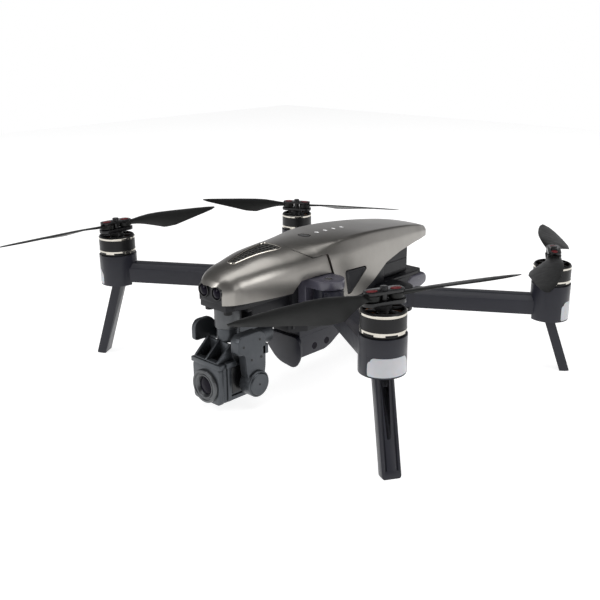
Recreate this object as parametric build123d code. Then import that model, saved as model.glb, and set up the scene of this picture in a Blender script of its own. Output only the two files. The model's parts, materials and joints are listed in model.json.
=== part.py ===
from build123d import *
import math
import os

# A folding quadcopter with a camera gimbal. Millimetres, +Z up, nose towards -Y, the drone's left towards +X.
# The dimensions are worked out from the centre plane and the middle of the four motors, with z = 0 on the ground.
# The finished pieces are then moved together so that the origin is under the middle of the box round the drone.

# ---- driving dimensions -------------------------------------------------------------------------------------
MOTOR_X = 133.4            # motor axis to the centre plane
MOTOR_Y = 102.0            # motor axis to the middle of the drone
HINGE_X = 36.0             # arm hinge axis
HINGE_Y = 41.0
CAN_R = 14.0               # motor can
HOUSING_R = 14.5           # cup at the end of an arm, under the motor
BLADE_TIP = 98.3           # propeller radius
ARM_W = 16.0
LEG_W = 12.0
LEG_T = 7.0
SHELL_T = 2.0              # wall of the upper shells
GAP = 0.3                  # between pieces that move apart
RUN = 0.05                 # radial clearance of a pin in its hole

ARM_LEN = math.hypot(MOTOR_X - HINGE_X, MOTOR_Y - HINGE_Y)

# Heights of one arm. band is the upper silver band of the motor can, and leg_out is how far the foot splays.
FRONT = {"band": 97.5, "cup": (60.6, 84.5), "beam": (63.0, 77.5), "barrel": (63.0, 77.5), "pivot": 64.2,
         "leg_out": 18.5, "cover_top": 73.5}
REAR = {"band": 81.9, "cup": (41.4, 68.9), "beam": (45.0, 59.0), "barrel": (45.0, 57.2), "pivot": 45.0,
        "leg_out": 14.8, "cover_top": 57.0}

# Corner name: side (+1 left), end (-1 front), heights, and the plan direction of each blade in degrees.
CORNERS = {
    "front_left": (1, -1, FRONT, (67.3, 251.0)),
    "front_right": (-1, -1, FRONT, (89.9, 269.6)),
    "rear_left": (1, 1, REAR, (-62.6, 124.4)),
    "rear_right": (-1, 1, REAR, (28.0, 203.3)),
}

# Upper body, one section for each y: crown height, shoulder (half width, height), side (half width, height),
# and floor (half width, height).
STATIONS = [
    (-122, 89.5, 6.0, 88.2, 8.5, 84, 8.5, 77.5),
    (-119, 93.6, 8.0, 91.8, 12.0, 86, 12.0, 76.5),
    (-113, 97.6, 11.0, 95.2, 16.5, 88, 16.5, 76),
    (-100, 101.0, 13.5, 98.6, 20.0, 89, 20.5, 75),
    (-83, 104.8, 16.5, 101.8, 24.0, 91, 24.5, 74),
    (-64, 106.4, 19.0, 103.4, 27.0, 93, 27.5, 73),
    (-40, 107.0, 20.5, 104.8, 28.0, 94, 29.0, 66),
    (-10, 107.2, 22.0, 106.0, 28.5, 96, 29.5, 58),
    (15, 106.0, 22.0, 105.0, 27.5, 95, 28.5, 58),
    (40, 104.2, 19.5, 103.2, 25.5, 94, 26.5, 60),
    (62, 102.0, 17.0, 101.0, 23.0, 93, 23.5, 70),
    (85, 98.4, 14.5, 97.4, 19.5, 91, 19.5, 80),
    (102, 93.0, 11.0, 92.2, 14.5, 89, 14.5, 84),
    (109, 89.5, 6.0, 89.0, 8.0, 88, 8.0, 86.5),
]

DECK_Z = 59.8              # the battery slides on this face
CHASSIS_TOP = 57.8
CHASSIS_FLOOR = 42.5
NOSE_EDGE = 77.0           # lower edge of the nose shell
YAW_Y = -105.0             # gimbal axes
ROLL_Z = 44.0
PITCH_Y = -102.0
PITCH_Z = 19.5
BOX_MIDDLE = (-22.33, -7.32)   # middle of the box round the whole drone, before the move


# ---- small helpers ------------------------------------------------------------------------------------------
def block(x0, x1, y0, y1, z0, z1):
    """A box given by its faces."""
    return Pos((x0 + x1) / 2, (y0 + y1) / 2, (z0 + z1) / 2) * Box(x1 - x0, y1 - y0, z1 - z0)


def post(x, y, r, z0, z1):
    """An upright cylinder."""
    return Pos(x, y, (z0 + z1) / 2) * Cylinder(r, z1 - z0)


def rod_x(y, z, r, x0, x1):
    """A cylinder along X."""
    return Pos((x0 + x1) / 2, y, z) * Rot(0, 90, 0) * Cylinder(r, x1 - x0)


def rod_y(x, z, r, y0, y1):
    """A cylinder along Y."""
    return Pos(x, (y0 + y1) / 2, z) * Rot(90, 0, 0) * Cylinder(r, y1 - y0)


def side_prism(points, x0, x1):
    """A prism along X from a closed outline of (y, z) points."""
    face = Plane.YZ.offset(x0) * make_face(Polyline(*points, close=True))
    return extrude(face, amount=x1 - x0)


def plan_prism(points, z0, z1):
    """An upright prism from a closed outline of (x, y) points."""
    face = Plane.XY.offset(z0) * make_face(Polyline(*points, close=True))
    return extrude(face, amount=z1 - z0)


def mirrored(shape):
    """The same shape on the other side of the centre plane."""
    return mirror(shape, about=Plane.YZ)


def both_sides(shape):
    """A pair of solids, left and right."""
    return Compound(children=[*shape.solids(), *mirrored(shape).solids()])


def upper_rounded(x0, x1, y0, y1, z0, z1, r):
    """A box with its four upright edges rounded."""
    solid = block(x0, x1, y0, y1, z0, z1)
    return fillet(solid.edges().filter_by(Axis.Z), r)


# ---- upper body ---------------------------------------------------------------------------------------------
def section(y, crown, shoulder_w, shoulder_z, side_w, side_z, floor_w, floor_z, inset):
    """One closed section of the upper body, drawn inset from its outer surface."""
    top = Spline(
        (inset - side_w, y, side_z),
        (inset * 0.7 - shoulder_w, y, shoulder_z - inset * 0.8),
        (0, y, crown - inset),
        (shoulder_w - inset * 0.7, y, shoulder_z - inset * 0.8),
        (side_w - inset, y, side_z),
        tangents=((0, 0, 1), (0, 0, -1)),
    )
    base = Polyline(
        (side_w - inset, y, side_z),
        (floor_w - inset, y, floor_z - inset),
        (inset - floor_w, y, floor_z - inset),
        (inset - side_w, y, side_z),
    )
    return make_face(top + base)


def upper_body(stations, inset):
    """The lofted upper body between two end sections."""
    return loft([section(*station, inset) for station in stations])


def cover_outline(gap):
    """Side view of the battery cover; gap draws its front seam back."""
    return [
        (-57 + gap, 115), (-57 + gap, 104), (-46 + gap, 98 + gap), (-32.5 + gap, 98 + gap), (-31 + gap, 92),
        (-28.4 + gap, 84), (-22.5 + gap, 66), (-14, 60.5), (6, 60.5), (21, 67), (39, 77), (60, 81),
        (100, 84), (115, 87), (115, 115),
    ]


NOSE_OUTLINE = [
    (-130, NOSE_EDGE), (-68, NOSE_EDGE), (-62, 84.3), (-28.5, 84.3), (-31, 92), (-32.5, 98), (-46, 98),
    (-57, 104), (-57, 115), (-130, 115),
]
GRILLE_OUTLINE = [(-2.4, -101.5), (2.4, -101.5), (9.9, -63), (7.5, -60.5), (-7.5, -60.5), (-9.9, -63)]
BUTTON_OUTLINE = [(-16, 83), (9, 81.5), (11, 79.5), (-10, 64.5), (-13, 64), (-14, 66)]
LED_Y = (-14.3, -4.9, 4.5, 13.9)


def oval(y, half_x, half_y, z0, z1):
    """An upright elliptic prism on the centre plane."""
    face = Pos(0, y, z0) * Ellipse(half_x, half_y)
    return extrude(face, amount=z1 - z0)


def grown(outline, by):
    """An outline moved outwards from its middle by a distance."""
    cx = sum(p[0] for p in outline) / len(outline)
    cy = sum(p[1] for p in outline) / len(outline)
    result = []
    for x, y in outline:
        reach = math.hypot(x - cx, y - cy)
        result.append((x + (x - cx) / reach * by, y + (y - cy) / reach * by))
    return result


def nose_shell(skin):
    shell = skin & side_prism(NOSE_OUTLINE, -60, 60)
    shell -= plan_prism(GRILLE_OUTLINE, 90, 115)
    shell -= block(-11.4, 11.4, -130, -114, 70, 88.4)
    return shell


def top_grille(outer, inner):
    panel = (outer - inner) & plan_prism(GRILLE_OUTLINE, 90, 115)
    for i in range(11):
        y = -97 + i * 3.2
        half = 1.4 + (y + 101.5) * 0.16
        panel -= block(-half, half, y, y + 1.6, 90, 115)
    return panel


def battery_cover(skin):
    shell = skin & side_prism(cover_outline(GAP), -60, 60)
    for y in LED_Y:
        shell -= oval(y, 2.0, 1.1, 100, 112)
    shell -= oval(-28, 5.3 + GAP, 4.0 + GAP, 100, 112)
    slot = side_prism(grown(BUTTON_OUTLINE, 0.5), 20, 40)
    return shell - slot - mirrored(slot)


def indicator_leds(outer):
    lamps = [s for y in LED_Y for s in (outer & oval(y, 2.0, 1.1, 103.2, 112)).solids()]
    return Compound(children=lamps)


def power_button(outer):
    return outer & oval(-28, 5.3, 4.0, 102.6, 112)


def release_button(outer):
    return outer & side_prism(BUTTON_OUTLINE, 25.4, 40)


def battery_case():
    case = block(-22.6, 22.6, -21, 40, DECK_Z + GAP, 99)
    case = fillet(case.edges().filter_by(Axis.Y).group_by(Axis.Z)[-1], 9)
    tail = fillet(block(-16, 16, 40, 80, DECK_Z + GAP, 94).edges().filter_by(Axis.Z).group_by(Axis.Y)[-1], 3)
    case += tail
    return case - block(-18.5, 18.5, -18, 76, 64, 90)


def battery_cells():
    cells = [block(-18, 18, -17.5, 75.5, z, z + 8.2) for z in (64.3, 72.9, 81.5)]
    return Compound(children=[s for cell in cells for s in cell.solids()])


# ---- chassis ------------------------------------------------------------------------------------------------
def lower_chassis():
    plan = [(-14, -60), (14, -60), (22, -48), (22, 60), (20, 92), (14, 100), (-14, 100), (-20, 92), (-22, 60),
            (-22, -48)]
    tray = plan_prism(plan, CHASSIS_FLOOR, CHASSIS_TOP)
    tray -= block(-19, 19, -46, 88, CHASSIS_FLOOR + 2.5, CHASSIS_TOP)
    for x in (-15, 15):
        for y in (-14, 66):
            tray += post(x, y, 2.5, CHASSIS_FLOOR + 2.5, 48)
    nose_floor = plan_prism([(-13, -118), (13, -118), (16.8, -104), (16.8, -22), (-16.8, -22), (-16.8, -104)],
                            72, NOSE_EDGE - 0.4)
    neck = block(-16.8, 16.8, -58, -22, CHASSIS_TOP, 72)
    neck -= block(-14.5, 14.5, -55, -25, CHASSIS_TOP, 72)
    front_wall = block(-16.8, 16.8, -58, -46, CHASSIS_FLOOR + 2.5, CHASSIS_TOP)
    return tray + nose_floor + neck + front_wall


def battery_deck():
    return upper_rounded(-21.5, 21.5, -21, 90, CHASSIS_TOP, DECK_Z, 4)


def main_board():
    board = block(-17.5, 17.5, -18, 70, 48, 49.6)
    chips = block(-7, 7, 0, 14, 49.6, 51) + block(-12, 2, 26, 36, 49.6, 50.8) + block(4, 14, 44, 62, 49.6, 52.5)
    return board + chips


def front_hinge_mounts():
    ear = post(HINGE_X, -HINGE_Y, 11.5, 77.8, 84) + block(17, HINGE_X, -52.5, -29.5, 77.8, 84)
    foot = post(HINGE_X, -HINGE_Y, 11.5, 58, 62.7) + block(22.3, HINGE_X, -52.5, -29.5, 58, 62.7)
    foot += block(17, 22.4, -52.5, -29.5, 58, 62.7)
    web = block(17, 24.4, -52.5, -29.5, 58, 84)
    mount = ear + foot + web - post(HINGE_X, -HINGE_Y, 3, 50, 90)
    return both_sides(mount)


def rear_hinge_mounts():
    top = post(HINGE_X, HINGE_Y, 11.5, 57.4, 60) + block(22.2, HINGE_X, 29.5, 52.5, 57.4, 60)
    foot = post(HINGE_X, HINGE_Y, 11.5, 41, 44.8) + block(22.2, HINGE_X, 29.5, 52.5, 41, 44.8)
    web = block(22.2, 24.4, 29.5, 52.5, 41, 60)
    mount = top + foot + web - post(HINGE_X, HINGE_Y, 3, 40, 62)
    return both_sides(mount)


def arm_hinge_pins():
    pins = [post(sx * HINGE_X, -HINGE_Y, 3, 58.4, 83.6) for sx in (-1, 1)]
    pins += [post(sx * HINGE_X, HINGE_Y, 3, 41.4, 59.8) for sx in (-1, 1)]
    return Compound(children=pins)


def sensor_bezel():
    plate = block(-11.3, 11.3, -119.6, -114.2, 77, 88.2)
    for x in (-6.7, 6.7):
        plate -= rod_y(x, 83.5, 4.1, -125, -117)
    return plate


def front_sensors():
    return Compound(children=[rod_y(x, 83.5, 4.0, -120.8, -117) for x in (-6.7, 6.7)])


def belly_pod():
    body = side_prism([(-48, 42.5), (-48, 19), (-36, 18.5), (-2, 21.3), (4, 30), (4, 42.5)], -14, 14)
    plate = block(-19, 19, -52, -48, 10, 36)
    plate = fillet(plate.edges().filter_by(Axis.Y), 8)
    pod = body + plate
    for y, z in ((-31.8, 24.4), (-18.2, 24.7)):
        pod -= rod_x(y, z, 2.1, 12.5, 15)
        pod -= rod_x(y, z, 2.1, -15, -12.5)
    return pod


def belly_sensors():
    lenses = [rod_x(y, z, 2.0, s * 13.2 - 0.7, s * 13.2 + 0.7)
              for y, z in ((-31.8, 24.4), (-18.2, 24.7)) for s in (-1, 1)]
    return Compound(children=lenses)


# ---- arms, motors, propellers, legs -------------------------------------------------------------------------
def place_on_arm(shape, side, end):
    """Move a shape from the arm's own frame, hinge at the origin and motor along +X, to its corner."""
    direction = math.degrees(math.atan2(end * (MOTOR_Y - HINGE_Y), side * (MOTOR_X - HINGE_X)))
    return Pos(side * HINGE_X, end * HINGE_Y, 0) * Rot(0, 0, direction) * shape


def arm(h):
    beam_low, beam_high = h["beam"]
    beam = block(13, ARM_LEN, -ARM_W / 2, ARM_W / 2, beam_low, beam_high)
    beam = chamfer(beam.edges().filter_by(Axis.X).group_by(Axis.Z)[-1], 3.5)
    barrel = post(0, 0, 11, *h["barrel"])
    neck = block(0, 14, -ARM_W / 2 + 1, ARM_W / 2 - 1, *h["barrel"])
    cup = post(ARM_LEN, 0, HOUSING_R, *h["cup"])
    body = beam + barrel + neck + cup - post(0, 0, 3 + RUN, 40, 90)
    body -= leg_channel(h)
    body -= post(ARM_LEN, 0, 10.5, h["pivot"] + 7.5, h["cup"][1])
    body -= block(16, ARM_LEN - 8, -4, 4, beam_high - 6.8, beam_high - 2.2)
    body -= light_ring(h, 0.0)
    return body


def leg_channel(h):
    """The slot that the folded leg lies in, with the holes of its pivot."""
    pivot_x = ARM_LEN - 1
    length = math.hypot(h["leg_out"] + 1, h["pivot"])
    half = LEG_W / 2 + GAP + 0.1
    slot = block(pivot_x - length - 2.5, pivot_x + 6.2, -half, half, 30, h["pivot"] + LEG_T / 2 + 0.4)
    holes = Pos(pivot_x, 0, h["pivot"]) * Rot(90, 0, 0) * Cylinder(1.6 + RUN, 15.4)
    return slot + holes


def light_ring(h, gap):
    """The outboard half ring that the light cover fills."""
    low, high = h["cup"][0] - 1 + gap, h["cover_top"] - gap
    ring = post(0, 0, HOUSING_R, max(low, h["cup"][0]), high) - post(0, 0, 12.6, low - 1, high + 1)
    ring &= plan_prism([(0, 0), (12, 19.2), (30, 19.2), (30, -19.2), (12, -19.2)], low - 1, high + 1)
    return Pos(ARM_LEN, 0, 0) * ring


def leg(h):
    lean = math.atan2(h["leg_out"] + 1, h["pivot"])
    pivot_x, pivot_z = ARM_LEN - 1, h["pivot"]
    run, rise = math.sin(lean), math.cos(lean)

    def at(height, out):
        """A point on the leg at a height, out from its centre line."""
        down = (pivot_z - height + out * run) / rise
        return (pivot_x + down * run + out * rise, height)

    half = LEG_T / 2
    top_in = (pivot_x - half * rise, pivot_z - half * run)
    top_out = (pivot_x + half * rise, pivot_z + half * run)
    toe_x = at(2.2, half)[0]
    outline = [top_in, top_out, (toe_x, 2.2), (toe_x - 0.8, 0.5), (toe_x - 2.0, 0), at(0, -2.4), at(4, -2.4),
               at(4, -half)]
    face = Plane.XZ * make_face(Polyline(*outline, close=True))
    blade = extrude(face, amount=LEG_W / 2, both=True)
    blade += Pos(pivot_x, 0, pivot_z) * Rot(90, 0, 0) * Cylinder(half, LEG_W)
    length = pivot_z / rise
    for start, stop in ((0.14, 0.2), (0.66, 0.94)):
        rib = block(half - 0.5, half + 1.3, -2, 2, -length * stop, -length * start)
        blade += Pos(pivot_x, 0, pivot_z) * Rot(0, -math.degrees(lean), 0) * rib
    blade += Pos(pivot_x, 0, pivot_z) * Rot(90, 0, 0) * Cylinder(1.6, 15)
    return blade


def stator(band):
    body = post(0, 0, 13, band - 13, band - 11.5) + post(0, 0, 4.2, band - 13, band - 0.6)
    for i in range(12):
        tooth = block(3.5, 11.6, -1.9, 1.9, band - 9.4, band - 2.2)
        body += Rot(0, 0, i * 30) * tooth
    return body - post(0, 0, 1.5 + RUN, band - 11, band + 1)


def motor_bell(band):
    wall = post(0, 0, CAN_R, band - 11.1, band + 2.2) - post(0, 0, 12.6, band - 12, band)
    for i in range(6):
        window = block(5.5, 11.8, -2.6, 2.6, band - 1, band + 3)
        wall -= Rot(0, 0, i * 60 + 30) * window
    wall += post(0, 0, 5.2, band, band + 4.8)
    return wall + post(0, 0, 1.5, band - 10, band + 1)


def prop_hub(band):
    bar = fillet(block(-14, 14, -5.6, 5.6, band + 4.8, band + 7.2).edges().filter_by(Axis.Z), 5)
    cap = fillet(block(-13, 13, -4.8, 4.8, band + 11.4, band + 13).edges().filter_by(Axis.Z), 4.5)
    hub = bar + cap + post(0, 0, 2.4, band + 4.8, band + 15)
    for x in (-8, 8):
        hub += post(x, 0, 1.6, band + 5, band + 13)
    return hub


def blade(band, spin):
    """One blade along +X about its own pivot at the origin; spin is +1 or -1, the way its nose edge faces."""
    mid = band + 9.3
    reach = BLADE_TIP - 8
    root = post(0, 0, 5, mid - 1.8, mid + 1.8)
    sections = []
    for share, chord, sweep, pitch, thick in ((0.03, 7, 0, 2, 3.2), (0.16, 12, 0.8, 15, 2.4), (0.32, 19, 1.0, 14, 2.0),
                                              (0.6, 15, 0.2, 10, 1.5), (0.85, 10.5, -1.0, 7, 1.1),
                                              (0.97, 6.5, -2.2, 5, 0.9), (1.0, 3, -3.0, 5, 0.7)):
        plane = Plane(origin=(share * reach, spin * sweep, mid), x_dir=(0, spin, 0), z_dir=(spin, 0, 0))
        sections.append(plane * Rot(0, 0, pitch) * Ellipse(chord / 2, thick / 2))
    wing = loft(sections)
    return root + wing - post(0, 0, 1.6 + RUN, mid - 5, mid + 5)


def hub_direction(angles):
    """Plan direction of the hub bar, halfway between its two blades."""
    return (angles[0] + angles[1] - 180) / 2


def on_motor(shape, side, end):
    """Move a shape from the motor axis at the origin to its corner."""
    return Pos(side * MOTOR_X, end * MOTOR_Y, 0) * shape


def placed_blade(index, side, end, h, angles):
    """One blade on its pin, turned so that its tip lies in the direction given."""
    spin = side * end
    hub = hub_direction(angles)
    wanted = angles[index] - hub - 180 * index
    fold = wanted * BLADE_TIP / (BLADE_TIP - 8)
    turned = Rot(0, 0, hub + 180 * index) * Pos(8, 0, 0) * Rot(0, 0, fold) * blade(h["band"], spin)
    return on_motor(turned, side, end)


# ---- gimbal and camera --------------------------------------------------------------------------------------
def damper_plate():
    return upper_rounded(-16, 16, -119, -90, 67, 69, 5)


def rubber_dampers():
    spots = [(x, y) for x in (-9.5, 9.5) for y in (-113, -95)]
    return Compound(children=[post(x, y, 3, 69, 72) for x, y in spots])


def yaw_motor():
    return post(0, YAW_Y, 9.5, 56.6, 65.7) + post(0, YAW_Y, 6, 65, 67)


def yaw_arm():
    rotor = post(0, YAW_Y, 8.25, 47, 56.3)
    beam = block(-6.5, 6.5, YAW_Y, -74, 51, 56.3)
    roll_motor = rod_y(0, ROLL_Z, 9, -90, -70)
    return rotor + beam + roll_motor


def yoke():
    bridge = block(-25, 25, -96.5, -90.4, 38.7, 46)
    near = block(17, 25, -118.5, -93, 26, 50) + rod_x(-106, 49, 8, 17, 25)
    near -= block(16, 26, -119, -111, 20, 40)
    near -= rod_x(PITCH_Y, PITCH_Z, 9.5, 10, 30)
    far = block(-26, -22, -116, -90.4, 42, 51) + rod_x(-107, 51, 7, -26, -22)
    return bridge + near + far


def pitch_motor():
    return rod_x(PITCH_Y, PITCH_Z, 9.5, 16.8, 28)


def camera_body():
    body = fillet(block(-14, 14, -123, -90, 6, 35).edges().filter_by(Axis.Y), 2)
    face = fillet(block(-14.5, 14.5, -127, -122.5, 6, 37).edges().filter_by(Axis.Y), 3)
    ribs = side_prism([(-126, 35), (-119, 50), (-115.2, 50), (-113.9, 46), (-106, 35)], -11.5, -8.5)
    ribs += Pos(10, 0, 0) * ribs + Pos(20, 0, 0) * ribs
    body += face + ribs + rod_x(PITCH_Y, PITCH_Z, 4, 13, 16.5)
    return body - rod_y(0, 18.3, 9, -128, -119)


def lens_ring():
    ring = rod_y(0, 18.3, 11, -129.6, -127) + rod_y(0, 18.3, 9, -127.5, -119)
    return ring - rod_y(0, 18.3, 6, -130, -121)


def lens_glass():
    return rod_y(0, 18.3, 6, -127.4, -121)


# ---- every piece --------------------------------------------------------------------------------------------
def all_pieces():
    outer = upper_body(STATIONS, 0)
    inner = upper_body(STATIONS[1:-1], SHELL_T)
    skin = outer - inner
    button = release_button(outer)
    pieces = {
        "nose_shell": nose_shell(skin),
        "top_grille": top_grille(outer, inner),
        "battery_cover": battery_cover(skin),
        "indicator_leds": indicator_leds(outer),
        "power_button": power_button(outer),
        "release_button_left": button,
        "release_button_right": mirrored(button),
        "battery_case": battery_case(),
        "battery_cells": battery_cells(),
        "lower_chassis": lower_chassis(),
        "battery_deck": battery_deck(),
        "main_board": main_board(),
        "front_hinge_mounts": front_hinge_mounts(),
        "rear_hinge_mounts": rear_hinge_mounts(),
        "arm_hinge_pins": arm_hinge_pins(),
        "sensor_bezel": sensor_bezel(),
        "front_sensors": front_sensors(),
        "belly_pod": belly_pod(),
        "belly_sensors": belly_sensors(),
        "damper_plate": damper_plate(),
        "rubber_dampers": rubber_dampers(),
        "yaw_motor": yaw_motor(),
        "yaw_arm": yaw_arm(),
        "yoke": yoke(),
        "pitch_motor": pitch_motor(),
        "camera_body": camera_body(),
        "lens_ring": lens_ring(),
        "lens_glass": lens_glass(),
    }
    for corner, (side, end, h, angles) in CORNERS.items():
        pieces["arm_" + corner] = place_on_arm(arm(h), side, end)
        pieces["light_cover_" + corner] = place_on_arm(light_ring(h, 0), side, end)
        pieces["leg_" + corner] = place_on_arm(leg(h), side, end)
        pieces["stator_" + corner] = on_motor(stator(h["band"]), side, end)
        pieces["motor_bell_" + corner] = on_motor(motor_bell(h["band"]), side, end)
        hub = Rot(0, 0, hub_direction(angles)) * prop_hub(h["band"])
        pieces["prop_hub_" + corner] = on_motor(hub, side, end)
        for index in (0, 1):
            name = "blade_{}_{}".format(index + 1, corner)
            pieces[name] = placed_blade(index, side, end, h, angles)
    return pieces


os.makedirs("parts", exist_ok=True)
def to_box_middle(piece):
    """Move a piece, or every solid of a grouped piece, to the frame of the finished drone."""
    move = Pos(-BOX_MIDDLE[0], -BOX_MIDDLE[1], 0)
    if len(piece.solids()) > 1:
        return Compound(children=[move * solid for solid in piece.solids()])
    return move * piece


for piece_name, piece in all_pieces().items():
    export_step(to_box_middle(piece), "parts/" + piece_name + ".step")
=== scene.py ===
import json
import math

import bmesh
import bpy
import numpy as np
from mathutils import Matrix, Vector


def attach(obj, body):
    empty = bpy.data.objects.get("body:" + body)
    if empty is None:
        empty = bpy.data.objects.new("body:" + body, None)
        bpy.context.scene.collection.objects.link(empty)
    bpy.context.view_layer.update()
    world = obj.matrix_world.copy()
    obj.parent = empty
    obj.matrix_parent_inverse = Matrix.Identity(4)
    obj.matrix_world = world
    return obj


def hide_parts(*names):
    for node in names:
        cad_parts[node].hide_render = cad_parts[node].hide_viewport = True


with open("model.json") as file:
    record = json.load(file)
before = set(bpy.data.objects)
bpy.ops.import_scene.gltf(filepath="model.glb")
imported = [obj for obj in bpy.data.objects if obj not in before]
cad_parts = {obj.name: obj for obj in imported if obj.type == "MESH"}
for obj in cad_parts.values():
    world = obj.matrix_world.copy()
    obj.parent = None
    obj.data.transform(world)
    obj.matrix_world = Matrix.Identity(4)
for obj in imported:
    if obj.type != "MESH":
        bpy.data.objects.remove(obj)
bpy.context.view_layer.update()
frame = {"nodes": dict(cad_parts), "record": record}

MM = 0.001
MOTOR_X = 133.4                       # plan position of the motor axes, mm
MOTOR_Y = 102.0
HINGE_X = 36.0
HINGE_Y = 41.0
BAND = {"front": 97.5, "rear": 81.9}  # height of the upper silver band of a motor, mm
ORIGIN = Vector((22.33, 7.32, 0)) * MM  # shift from the middle of the motors to the frame's origin
BLADE_PIVOT = 8.0                     # from the motor's axis to a blade's pivot
BLADE_REACH = 90.3                    # from a blade's pivot to its tip
CORNERS = {                           # side (+ left), end (- front), and where the two blades point, degrees
    "front_left": (1, -1, (67.3, 251.0)),
    "front_right": (-1, -1, (89.9, 269.6)),
    "rear_left": (1, 1, (-62.6, 124.4)),
    "rear_right": (-1, 1, (28.0, 203.3)),
}


# ---- materials -----------------------------------------------------------------------------------
class Surface:
    """A principled material with helpers for the noise that breaks up its colour, roughness and height."""

    def __init__(self, name, colour, roughness, metallic=0.0, **sockets):
        self.material = bpy.data.materials.new(name)
        self.material.use_nodes = True
        self.nodes = self.material.node_tree.nodes
        self.links = self.material.node_tree.links
        self.shader = self.nodes["Principled BSDF"]
        self.colour = colour
        self.roughness = roughness
        self.shader.inputs["Base Color"].default_value = (*colour, 1)
        self.shader.inputs["Roughness"].default_value = roughness
        self.shader.inputs["Metallic"].default_value = metallic
        for key, value in sockets.items():
            self.shader.inputs[key.replace("_", " ")].default_value = value
        self.place = self.nodes.new("ShaderNodeTexCoord").outputs["Object"]

    def noise(self, scale, detail=3.0, rough=0.55, stretch=(1, 1, 1)):
        mapping = self.nodes.new("ShaderNodeMapping")
        mapping.inputs["Scale"].default_value = stretch
        self.links.new(self.place, mapping.inputs["Vector"])
        texture = self.nodes.new("ShaderNodeTexNoise")
        texture.inputs["Scale"].default_value = scale
        texture.inputs["Detail"].default_value = detail
        texture.inputs["Roughness"].default_value = rough
        self.links.new(mapping.outputs["Vector"], texture.inputs["Vector"])
        return texture.outputs["Fac"]

    def ranged(self, source, low, high):
        """Spreads the middle of a noise over a range of values."""
        node = self.nodes.new("ShaderNodeMapRange")
        node.inputs["From Min"].default_value = 0.3
        node.inputs["From Max"].default_value = 0.7
        node.inputs["To Min"].default_value = low
        node.inputs["To Max"].default_value = high
        self.links.new(source, node.inputs["Value"])
        return node.outputs["Result"]

    def mottle(self, source, other, amount=1.0):
        """Mixes another colour in where the noise is high."""
        mix = self.nodes.new("ShaderNodeMix")
        mix.data_type = "RGBA"
        mix.inputs["A"].default_value = (*self.colour, 1)
        mix.inputs["B"].default_value = (*other, 1)
        self.links.new(self.ranged(source, 0, amount), mix.inputs["Factor"])
        self.links.new(mix.outputs["Result"], self.shader.inputs["Base Color"])
        return self

    def vary_roughness(self, source, spread):
        value = self.ranged(source, self.roughness - spread, self.roughness + spread)
        self.links.new(value, self.shader.inputs["Roughness"])
        return self

    def bump(self, source, depth, strength):
        node = self.nodes.new("ShaderNodeBump")
        node.inputs["Strength"].default_value = strength
        node.inputs["Distance"].default_value = depth
        self.links.new(source, node.inputs["Height"])
        self.links.new(node.outputs["Normal"], self.shader.inputs["Normal"])
        return self


def silver_paint():
    """Satin champagne-silver paint with fine metal flake."""
    s = Surface("silver_paint", (0.30, 0.286, 0.265), 0.305, 0.92, Coat_Weight=0.15, Coat_Roughness=0.25)
    s.mottle(s.noise(70, 4), (0.335, 0.32, 0.297))
    s.vary_roughness(s.noise(40, 4), 0.02)
    return s.bump(s.noise(2200, 2, 0.5), 0.000003, 0.1).material


def moulded_plastic(name, colour, lighter, roughness, grain=2600, coat=0.0):
    """Dark plastic with the fine spark texture of a moulding tool."""
    s = Surface(name, colour, roughness, 0.0, Coat_Weight=coat, Coat_Roughness=0.3, Specular_IOR_Level=0.28)
    s.mottle(s.noise(45, 4), lighter)
    s.vary_roughness(s.noise(220, 3), 0.05)
    return s.bump(s.noise(grain, 2, 0.6), 0.00004, 0.5).material


def anodised(name, colour, lighter, roughness, metallic=0.75):
    """Bead-blasted and anodised aluminium."""
    s = Surface(name, colour, roughness, metallic)
    s.mottle(s.noise(80, 4), lighter)
    s.vary_roughness(s.noise(300, 3), 0.05)
    return s.bump(s.noise(4200, 2, 0.6), 0.00002, 0.4).material


def polished_band():
    """Turned bright aluminium with fine rings."""
    s = Surface("polished_band", (0.66, 0.63, 0.57), 0.13, 1.0)
    s.mottle(s.noise(180, 4, 0.6), (0.48, 0.45, 0.39), 0.7)
    return s.bump(s.noise(900, 1, 0.5, (0.02, 0.02, 9)), 0.00002, 0.35).material


def copper_wire():
    s = Surface("copper_wire", (0.42, 0.15, 0.06), 0.32, 0.9)
    s.mottle(s.noise(500, 2), (0.62, 0.27, 0.11))
    return s.bump(s.noise(2400, 1, 0.5, (1, 1, 5)), 0.0002, 0.9).material


def lens_coating():
    """Deep black optical glass with a faint purple coating."""
    s = Surface("lens_coating", (0.0025, 0.0025, 0.004), 0.06, 0.0, Specular_IOR_Level=0.08)
    return s.mottle(s.noise(90, 2), (0.006, 0.004, 0.011)).material


def frosted_cover():
    """Milky light diffuser."""
    s = Surface("frosted_cover", (0.56, 0.565, 0.59), 0.38, 0.0, Subsurface_Weight=0.25,
                Subsurface_Scale=0.004, Coat_Weight=0.2, Coat_Roughness=0.25)
    s.mottle(s.noise(55, 3), (0.48, 0.485, 0.51))
    return s.bump(s.noise(1500, 2), 0.00002, 0.3).material


def lamp_material():
    s = Surface("lamp_white", (0.85, 0.86, 0.86), 0.25, Emission_Color=(1, 1, 1, 1), Emission_Strength=0.35)
    return s.mottle(s.noise(700, 2), (0.72, 0.73, 0.75)).material


def red_mark():
    s = Surface("red_mark", (0.17, 0.010, 0.014), 0.5, Specular_IOR_Level=0.25)
    return s.mottle(s.noise(900, 3), (0.11, 0.007, 0.010)).material


def floor_material():
    s = Surface("floor", (0.50, 0.50, 0.50), 0.8, Emission_Color=(1, 1, 1, 1), Emission_Strength=0.84,
                Specular_IOR_Level=0.1)
    return s.mottle(s.noise(3, 2), (0.48, 0.48, 0.48)).material


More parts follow.
